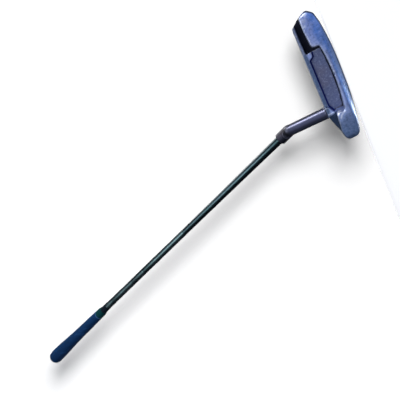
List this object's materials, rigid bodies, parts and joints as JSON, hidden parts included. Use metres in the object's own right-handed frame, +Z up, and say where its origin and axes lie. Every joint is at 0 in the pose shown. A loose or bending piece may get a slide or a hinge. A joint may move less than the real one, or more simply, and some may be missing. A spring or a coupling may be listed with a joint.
{
  "type": "blade putter",
  "caption": "Right-handed heel-and-toe weighted blade putter with a cavity back, an offset plumber's neck, a stepped steel shaft and a paddle grip.",
  "frame": {"origin": "on the ground, under the middle of the flat sole of the head", "axes": "+Z up at address; +X from heel to toe, along the face; +Y to the target, out of the striking face; the shaft leans 21.4 degrees from +Z towards the heel"},
  "size_m": [0.3793, 0.0468, 0.7607],
  "materials": {
    "head_metal": "satin blue-grey metallic, cast skin, black fill in the notches",
    "neck_metal": "satin grey-violet metallic",
    "shaft_plating": "dark green-grey plating",
    "adhesive": "cured epoxy",
    "cork": "cork",
    "paper_tape": "paper-backed grip tape",
    "black_tape": "black tape",
    "grip_rubber": "navy blue rubber, fine texture"
  },
  "bodies": {
    "root": {"putter_head": "head_metal", "offset_neck": "neck_metal", "shaft": "shaft_plating", "epoxy_bond": "adhesive", "tip_plug": "cork", "grip_tape": "paper_tape", "grip_end_band": "black_tape", "grip": "grip_rubber"}
  },
  "joints": []
}
